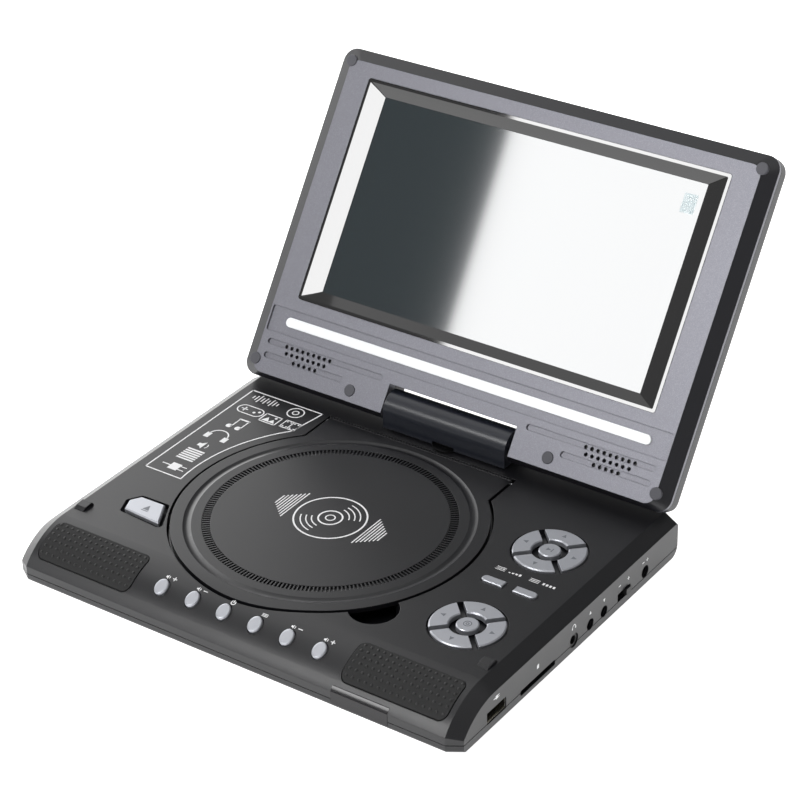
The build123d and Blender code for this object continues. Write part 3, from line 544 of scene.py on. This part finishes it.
    def plug(self, x: float, y: float, r: float) -> None:
        """A plug with two pins and a lead."""
        self.sheet.rect(x - 0.35 * r, x + 0.45 * r, y - 0.42 * r, y + 0.42 * r)
        for side in (-1, 1):
            pin = y + side * 0.22 * r
            self.sheet.stroke((x + 0.5 * r, pin), (x + 0.95 * r, pin), self.line * 0.8)
        self.sheet.stroke((x - r, y), (x - 0.4 * r, y), self.line)

    def card(self, x: float, y: float, r: float) -> None:
        """A memory card with one cut corner."""
        self.sheet.poly([
            (x - 0.6 * r, y - 0.8 * r), (x + 0.6 * r, y - 0.8 * r), (x + 0.6 * r, y + 0.8 * r),
            (x - 0.2 * r, y + 0.8 * r), (x - 0.6 * r, y + 0.4 * r),
        ])

    def bars(self, x: float, y: float, r: float, knobs: bool) -> None:
        """Three level lines, with knobs where they are sliders."""
        for i in (-1, 0, 1):
            self.sheet.stroke((x - r, y + i * 0.45 * r), (x + r, y + i * 0.45 * r), self.line * 0.6)
            if knobs:
                self.sheet.disc(x + i * 0.45 * r, y + i * 0.45 * r, 0.19 * r, 10)

    def eject(self, x: float, y: float, r: float) -> None:
        """A triangle over a bar."""
        self.arrow(x, y + 0.15 * r, 0.75 * r, 90)
        self.sheet.stroke((x - 0.6 * r, y - 0.6 * r), (x + 0.6 * r, y - 0.6 * r), self.line * 0.8)


# ---- sub-assemblies ----
@dataclass
class Lid:
    """The disc lid's ribs and emblem. The centre and the heights come from the frame."""

    wardrobe: Wardrobe
    disc_x: float = -8.4
    disc_y: float = 1.7
    top: float = 19.2
    ring_in: float = 46.95
    ring_out: float = 50.25
    ring_depth: float = 0.8
    ribs: int = 200
    rib_width: float = 0.6
    rib_height: float = 0.72

    def build(self) -> None:
        """Make the ribs in the ring groove and the printed emblem."""
        self.wardrobe.dress(self.rib_ring(), LID)
        self.wardrobe.dress(self.emblem(), INK)

    def rib_ring(self) -> bpy.types.Object:
        """Fill the groove with upright radial ribs.

        Returns:
            The piece that holds all of them.
        """
        sheet = Sheet("lid_ring_ribs", film=self.rib_height, lift=self.top - self.ring_depth)
        for i in range(self.ribs):
            turn = Matrix.Rotation(2 * math.pi * i / self.ribs, 4, "Z")
            sheet.place = Matrix.Translation((self.disc_x, self.disc_y, 0)) @ turn
            sheet.rect(self.ring_in, self.ring_out, -self.rib_width / 2, self.rib_width / 2)
        return sheet.finish(Body.LID, Slot.LID)

    def emblem(self) -> bpy.types.Object:
        """Print a plain disc sign with hatched side bands.

        Returns:
            The printed piece.
        """
        sheet = Sheet("lid_emblem", place=Matrix.Translation((self.disc_x, self.disc_y, self.top)))
        sheet.arc(0, 0, 14.5, 0, 360, 0.7, 72)
        sheet.arc(0, 0, 4.8, 0, 360, 0.7, 40)
        sheet.arc(0, 0, 1.9, 0, 360, 0.55, 24)
        for r in (7.4, 9.6, 11.8):
            for start in (20, 200):
                sheet.arc(0, 0, r, start, start + 60, 0.5, 16)
        for side in (-1, 1):
            for i in range(7):
                x, reach = side * (17.2 + 1.25 * i), 9.5 - 1.1 * i
                sheet.stroke((x, -reach), (x, reach), 0.5)
        return sheet.finish(Body.LID, Slot.PRINT)


@dataclass
class BasePrints:
    """Printed marks on the top of the base and beside its keys."""

    wardrobe: Wardrobe
    top: float = 19.0
    lid_x: float = -8.4
    lid_y: float = 1.7
    panel_left: float = -93.9
    panel_right: float = -57.6
    panel_back: float = 63.2
    panel_front: float = -7.8
    panel_arc: float = 68.0
    panel_bend: float = 45.8
    key_first: float = -35.9
    key_pitch: float = 14.84
    key_y: float = -62.5
    roll_y: float = -53.0
    roll_radius: float = 29.7

    def build(self) -> None:
        """Print the outlined panel, its signs and the signs beside the controls."""
        self.wardrobe.dress(self.panel(), INK)
        self.wardrobe.dress(self.control_marks(), INK)
        self.wardrobe.dress(self.front_marks(), INK)
        self.wardrobe.dress(self.side_marks(), INK)

    def panel(self) -> bpy.types.Object:
        """The outlined panel left of the lid, with ten signs in it."""
        sheet = Sheet("panel_print", place=Matrix.Translation((0, 0, self.top)))
        low = 180 - math.degrees(math.asin((self.panel_front - self.lid_y) / self.panel_arc))
        high = 180 - math.degrees(math.asin((self.panel_bend - self.lid_y) / self.panel_arc))
        sheet.arc(self.lid_x, self.lid_y, self.panel_arc, high, low, 0.6, 24)
        bend = math.radians(high)
        corner = (self.lid_x + self.panel_arc * math.cos(bend), self.lid_y + self.panel_arc * math.sin(bend))
        foot = math.radians(low)
        start = (self.lid_x + self.panel_arc * math.cos(foot), self.lid_y + self.panel_arc * math.sin(foot))
        sheet.path([corner, (self.panel_right, self.panel_back), (self.panel_left, self.panel_back),
                    (self.panel_left, self.panel_front), start], 0.6)
        signs = Signs(sheet)
        signs.wave(-84.0, 59.0, 6.2)
        signs.disc(-67.6, 58.0, 3.6)
        signs.gamepad(-84.6, 49.4, 5.4)
        signs.picture(-73.4, 48.3, 4.0)
        signs.film(-63.4, 48.8, 3.7)
        signs.note(-81.6, 38.0, 4.1)
        signs.headphones(-83.6, 26.2, 4.3)
        signs.speaker(-84.0, 17.0, 2.6)
        signs.grid(-84.0, 8.2, 4.2)
        signs.plug(-84.0, -1.8, 5.6)
        return sheet.finish(Body.BASE, Slot.PRINT)

    def control_marks(self) -> bpy.types.Object:
        """Small signs behind the two pill keys."""
        sheet = Sheet("control_print", place=Matrix.Translation((0, 0, self.top)))
        signs = Signs(sheet, 0.5)
        signs.bars(66.4, 8.9, 1.9, knobs=True)
        signs.bars(81.4, 8.9, 1.9, knobs=False)
        for i in range(4):
            sheet.rect(70.0 + 1.5 * i, 70.9 + 1.5 * i, 8.2, 8.2 + 0.4 + 0.3 * i)
            sheet.rect(85.0 + 1.5 * i, 85.9 + 1.5 * i, 8.2, 8.2 + 1.3)
        return sheet.finish(Body.BASE, Slot.PRINT)

    def front_marks(self) -> bpy.types.Object:
        """A pair of signs behind each of the six front keys, laid on the rolled front."""
        sheet = Sheet("front_key_print")
        signs = Signs(sheet, 0.42)
        y = self.key_y
        z = self.top - self.roll_radius + math.sqrt(self.roll_radius ** 2 - (y - self.roll_y) ** 2)
        lean = Matrix.Rotation(math.asin((self.roll_y - y) / self.roll_radius), 4, "X")
        for i in range(6):
            sheet.place = Matrix.Translation((self.key_first + self.key_pitch * i, y, z)) @ lean
            if i in (0, 1, 4, 5):
                signs.speaker(-1.5, 0, 0.95)
                signs.plus(1.6, 0, 0.75, minus=i in (1, 4))
            elif i == 2:
                signs.power(0, 0, 0.9)
            else:
                signs.bars(0, 0, 1.2, knobs=False)
        return sheet.finish(Body.BASE, Slot.PRINT)

    def side_marks(self) -> bpy.types.Object:
        """One small sign above each socket on the right wall."""
        upright = Matrix(((0, 0, 1, 104.0), (1, 0, 0, 0), (0, 1, 0, 0), (0, 0, 0, 1)))
        sheet = Sheet("side_print", place=upright)
        signs = Signs(sheet, 0.35)
        signs.plug(-51.7, 12.4, 1.8)
        signs.card(-24.3, 9.0, 1.1)
        signs.headphones(0.5, 11.6, 1.1)
        signs.arrow(12.1, 11.2, 0.9, 90)
        signs.arrow(22.0, 11.2, 0.9, 270)
        for y in (33.4, 39.8):
            signs.plus(y, 11.0, 0.6, minus=y < 36)
        signs.plus(50.8, 11.6, 0.6, minus=True)
        signs.plus(53.8, 11.6, 0.6)
        return sheet.finish(Body.BASE, Slot.PRINT)


@dataclass
class KeySigns:
    """Grey signs on the silver keys, each riding on its own key."""

    wardrobe: Wardrobe
    top: float = 19.8
    pads: tuple[tuple[str, float, float], ...] = (("rear", 75.6, 28.7), ("front", 76.2, -28.6))
    middle: float = 10.8

    def build(self) -> None:
        """Print a sign on each control segment, each centre and the release key."""
        turns = {"right": 0, "back": 90, "left": 180, "front": 270}
        for pad, x, y in self.pads:
            for side, turn in turns.items():
                a = math.radians(turn)
                spot = (x + self.middle * math.cos(a), y + self.middle * math.sin(a))
                self.print_on(f"{pad}_pad_{side}", spot, turn)
            self.print_on(f"{pad}_pad_centre", (x, y), None)
        self.print_on("open_button", (-72.4, -33.0), None)

    def print_on(self, key: str, spot: Point, turn: float | None) -> None:
        """Print one sign.

        Args:
            key: the key's node and body name.
            spot: where the sign stands.
            turn: where an arrow points, in degrees, or None for another sign.
        """
        sheet = Sheet(f"{key}_sign", place=Matrix.Translation((spot[0], spot[1], self.top)))
        signs = Signs(sheet, 0.4)
        if turn is not None:
            signs.arrow(0, 0, 1.25, turn)
        elif key == "open_button":
            signs.eject(0, 0, 2.6)
        elif key.startswith("rear"):
            signs.arrow(-0.5, 0, 1.2, 0)
            signs.sheet.stroke((1.1, -1.0), (1.1, 1.0), 0.4)
        else:
            signs.disc(0, 0, 1.5)
        piece = sheet.finish(Body.BASE, Slot.SILVER)
        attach(piece, key)
        self.wardrobe.dress(piece, GREY_INK)


@dataclass
class Grips:
    """The dimples of the two grip pads, as low rubber domes in rows that follow the rolled front."""

    wardrobe: Wardrobe
    first_x: float = 51.8
    pitch_x: float = 2.83
    columns: int = 16
    first_y: float = -71.2
    pitch_y: float = 2.5
    rows: int = 6
    radius: float = 0.62
    height: float = 0.22
    skin: float = 0.25
    top: float = 19.0
    roll_y: float = -53.0
    roll_radius: float = 29.7

    def build(self) -> None:
        """Make the domes of both pads as one piece."""
        sheet = Sheet("grip_domes")
        for sign in (-1, 1):
            for column in range(self.columns):
                x = sign * (self.first_x + column * self.pitch_x)
                for row in range(self.rows):
                    self.dome(sheet, x, self.first_y + row * self.pitch_y)
        piece = sheet.finish(Body.BASE, Slot.GRIP, smooth=True)
        self.wardrobe.dress(piece, DIMPLE)

    def dome(self, sheet: Sheet, x: float, y: float, steps: int = 10) -> None:
        """Add one dome that stands on the pad's skin.

        Args:
            sheet: the sheet that collects it.
            x: its place across the pad.
            y: its place from front to back.
            steps: how many sides it has.
        """
        radius = self.roll_radius + self.skin
        lean = math.asin((y - self.roll_y) / radius)
        z = self.top - self.roll_radius + radius * math.cos(lean)
        place = Matrix.Translation((x, y, z)) @ Matrix.Rotation(-lean, 4, "X")
        start = len(sheet.points)
        for r, h in ((1.0, -0.1), (0.96, 0.35), (0.6, 0.85)):
            for i in range(steps):
                t = 2 * math.pi * i / steps
                sheet.points.append(place @ Vector((
                    r * self.radius * math.cos(t), r * self.radius * math.sin(t), h * self.height
                )))
        sheet.points.append(place @ Vector((0, 0, self.height)))
        apex = start + 3 * steps
        sheet.faces.append(tuple(start + i for i in reversed(range(steps))))
        for i in range(steps):
            j = (i + 1) % steps
            for level in (0, steps):
                low, high = start + level, start + level + steps
                sheet.faces.append((low + i, low + j, high + j, high + i))
            sheet.faces.append((start + 2 * steps + i, start + 2 * steps + j, apex))


@dataclass
class ScreenTrim:
    """The film tab on the picture."""

    wardrobe: Wardrobe
    tilt_y: float = 74.6
    tilt_z: float = 26.6
    lean: float = 35.0
    picture_w: float = 3.5

    def plane(self) -> Matrix:
        """Give the screen's own plane: its X across, its Y up the panel and its Z out of the face."""
        c, s = math.cos(math.radians(self.lean)), math.sin(math.radians(self.lean))
        return Matrix(((1, 0, 0, 0), (0, s, -c, self.tilt_y), (0, c, s, self.tilt_z), (0, 0, 0, 1)))

    def build(self) -> None:
        """Lay the film tab on the glass."""
        sheet = Sheet("film_tab", place=self.plane(), lift=self.picture_w + 0.02)
        sheet.rect(68.5, 74.5, 108.0, 116.0)
        self.wardrobe.dress(sheet.finish(Body.SCREEN, Slot.PICTURE), TAB)


# ---- the studio ----
@dataclass
class Studio:
    """Floor, surround, lights and camera. Lengths are in metres, and the room's levels are radiances."""

    wardrobe: Wardrobe
    camera_at: tuple[float, float, float] = (0.52855, -0.69431, 0.59484)
    azimuth: float = 35.798
    elevation: float = 30.768
    roll: float = -1.568
    lens: float = 121.1
    sensor: float = 36.0
    card_y: float = -1.3
    card_low: float = 0.95
    card_high: float = 1.5
    card_low_left: float = -0.96
    card_high_left: float = -1.15
    card_right: float = 0.0
    card_fade: float = 0.014
    card_glow: float = 11.5
    room_front: float = 0.42
    room_back: float = 0.22
    room_left: float = 3.0
    floor_half: float = 6.0
    lamp_size: float = 2.6
    lamp_power: float = 14.0

    def build(self) -> None:
        """Set up the whole studio."""
        self.floor()
        self.surround()
        self.softbox()
        self.overhead()
        self.camera()

    def floor(self) -> None:
        """Lay a wide pale floor under the feet."""
        mesh = bpy.data.meshes.new("floor")
        half = self.floor_half
        corners = [(-half, -half, 0), (half, -half, 0), (half, half, 0), (-half, half, 0)]
        mesh.from_pydata(corners, [], [(0, 1, 2, 3)])
        piece = bpy.data.objects.new("floor", mesh)
        bpy.context.scene.collection.objects.link(piece)
        self.wardrobe.dress(piece, FLOOR)

    def surround(self) -> None:
        """Light the room: bright on the back left, dim elsewhere."""
        world = bpy.data.worlds.new("studio")
        bpy.context.scene.world = world
        world.use_nodes = True
        tree = world.node_tree
        background = tree.nodes["Background"]
        way = add_node(tree, "ShaderNodeTexCoord", {}, {}).outputs["Generated"]
        axes = add_node(tree, "ShaderNodeSeparateXYZ", {}, {"Vector": way})
        left = add_node(
            tree, "ShaderNodeMapRange",
            {"interpolation_type": "SMOOTHSTEP", "From Min": -0.48, "From Max": -0.65},
            {"Value": axes.outputs["X"]},
        )
        behind = add_node(
            tree, "ShaderNodeMapRange",
            {"interpolation_type": "SMOOTHSTEP", "From Min": -0.2, "From Max": 0.25},
            {"Value": axes.outputs["Y"]},
        )
        both = add_node(tree, "ShaderNodeMath", {"operation": "MULTIPLY"}, {})
        tree.links.new(left.outputs["Result"], both.inputs[0])
        tree.links.new(behind.outputs["Result"], both.inputs[1])
        front = add_node(
            tree, "ShaderNodeMapRange",
            {"From Min": -0.4, "From Max": 0.2, "To Min": self.room_front, "To Max": self.room_back},
            {"Value": axes.outputs["Y"]},
        )
        level = add_node(tree, "ShaderNodeMath", {"operation": "MULTIPLY_ADD"}, {})
        tree.links.new(both.outputs["Value"], level.inputs[0])
        level.inputs[1].default_value = self.room_left
        tree.links.new(front.outputs["Result"], level.inputs[2])
        tree.links.new(level.outputs["Value"], background.inputs["Strength"])
        background.inputs["Color"].default_value = (1.0, 1.0, 1.0, 1.0)

    def softbox(self) -> None:
        """Stand a broad soft card in front, whose light fades out at its left edge."""
        corners = [
            (self.card_low_left, self.card_y, self.card_low),
            (self.card_right, self.card_y, self.card_low),
            (self.card_right, self.card_y, self.card_high),
            (self.card_high_left, self.card_y, self.card_high),
        ]
        mesh = bpy.data.meshes.new("soft_card")
        mesh.from_pydata(corners, [], [(0, 1, 2, 3)])
        layer = mesh.uv_layers.new(name="spread")
        for loop, spot in zip(layer.data, ((0, 0), (1, 0), (1, 1), (0, 1))):
            loop.uv = spot
        piece = bpy.data.objects.new("soft_card", mesh)
        bpy.context.scene.collection.objects.link(piece)
        material = bpy.data.materials.new("studio_soft_card")
        material.use_nodes = True
        tree = material.node_tree
        tree.nodes.remove(tree.nodes["Principled BSDF"])
        way = add_node(tree, "ShaderNodeTexCoord", {}, {}).outputs["UV"]
        axes = add_node(tree, "ShaderNodeSeparateXYZ", {}, {"Vector": way})
        fade = add_node(
            tree, "ShaderNodeMapRange",
            {
                "interpolation_type": "SMOOTHSTEP", "From Max": self.card_fade,
                "To Min": 0.3, "To Max": self.card_glow,
            },
            {"Value": axes.outputs["X"]},
        )
        glow = add_node(tree, "ShaderNodeEmission", {}, {"Strength": fade.outputs["Result"]})
        tree.links.new(glow.outputs["Emission"], tree.nodes["Material Output"].inputs["Surface"])
        piece.data.materials.append(material)

    def overhead(self) -> None:
        """Hang one wide soft light over the table. The floor is white by its own glow."""
        data = bpy.data.lights.new("overhead", "AREA")
        data.shape, data.energy = "RECTANGLE", self.lamp_power
        data.size = data.size_y = self.lamp_size
        lamp = bpy.data.objects.new("overhead", data)
        lamp.location = (0.0, 0.2, 2.0)
        bpy.context.scene.collection.objects.link(lamp)

    def camera(self) -> None:
        """Place the camera by its angles and make it the scene's."""
        a, e, r = (math.radians(v) for v in (self.azimuth, self.elevation, self.roll))
        back = Vector((math.sin(a) * math.cos(e), -math.cos(a) * math.cos(e), math.sin(e)))
        right = Vector((math.cos(a), math.sin(a), 0))
        up = back.cross(right)
        x = right * math.cos(r) + up * math.sin(r)
        y = -right * math.sin(r) + up * math.cos(r)
        data = bpy.data.cameras.new("camera")
        data.lens, data.sensor_width, data.clip_start, data.clip_end = self.lens, self.sensor, 0.01, 50.0
        piece = bpy.data.objects.new("camera", data)
        piece.matrix_world = Matrix((
            (x.x, y.x, back.x, self.camera_at[0]), (x.y, y.y, back.y, self.camera_at[1]),
            (x.z, y.z, back.z, self.camera_at[2]), (0, 0, 0, 1),
        ))
        bpy.context.scene.collection.objects.link(piece)
        bpy.context.scene.camera = piece
        bpy.context.scene.view_settings.view_transform = "Standard"


def dress_frame(frame: dict[str, Any], wardrobe: Wardrobe) -> None:
    """Put each CAD node's finish on it.

    Args:
        wardrobe: where the materials come from.
    """
    slots = {part["node"]: part["material_slot"] for part in frame["record"]["subparts"]}
    for name, piece in frame["nodes"].items():
        wardrobe.dress(piece, FINISHES[slots[name]])
        LOG.info("%s: %s", name, slots[name])
    # painted shade on the bezel's sloped rim
    dress_rim_painted_shade(frame["nodes"]["screen_bezel"], wardrobe)


def dress_rim_painted_shade(bezel: bpy.types.Object, wardrobe: Wardrobe) -> None:
    """Give the bezel's sloped rim a dark finish as painted shade, picking its faces by how far they lean
    from the screen's normal. The flat face looks along the screen's normal.

    Args:
        bezel: the screen's front moulding.
        wardrobe: where the materials come from.
    """
    lean = math.radians(ScreenTrim.lean)
    normal = Vector((0.0, -math.cos(lean), math.sin(lean)))
    turn = bezel.matrix_world.to_3x3()
    # painted shade: the sloped rim faces take the dark rim finish
    bezel.data.materials.append(wardrobe.get(RIM_PAINTED_SHADE))
    for face in bezel.data.polygons:
        if 0.5 < (turn @ face.normal).normalized().dot(normal) < 0.97:
            face.material_index = 1


def main() -> None:
    """Build the scene."""
    logging.basicConfig(level=logging.INFO, format="%(name)s %(message)s")
    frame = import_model()
    wardrobe = Wardrobe()
    dress_frame(frame, wardrobe)
    Lid(wardrobe).build()
    BasePrints(wardrobe).build()
    KeySigns(wardrobe).build()
    Grips(wardrobe).build()
    ScreenTrim(wardrobe).build()
    Studio(wardrobe).build()


if __name__ == "__main__":
    main()
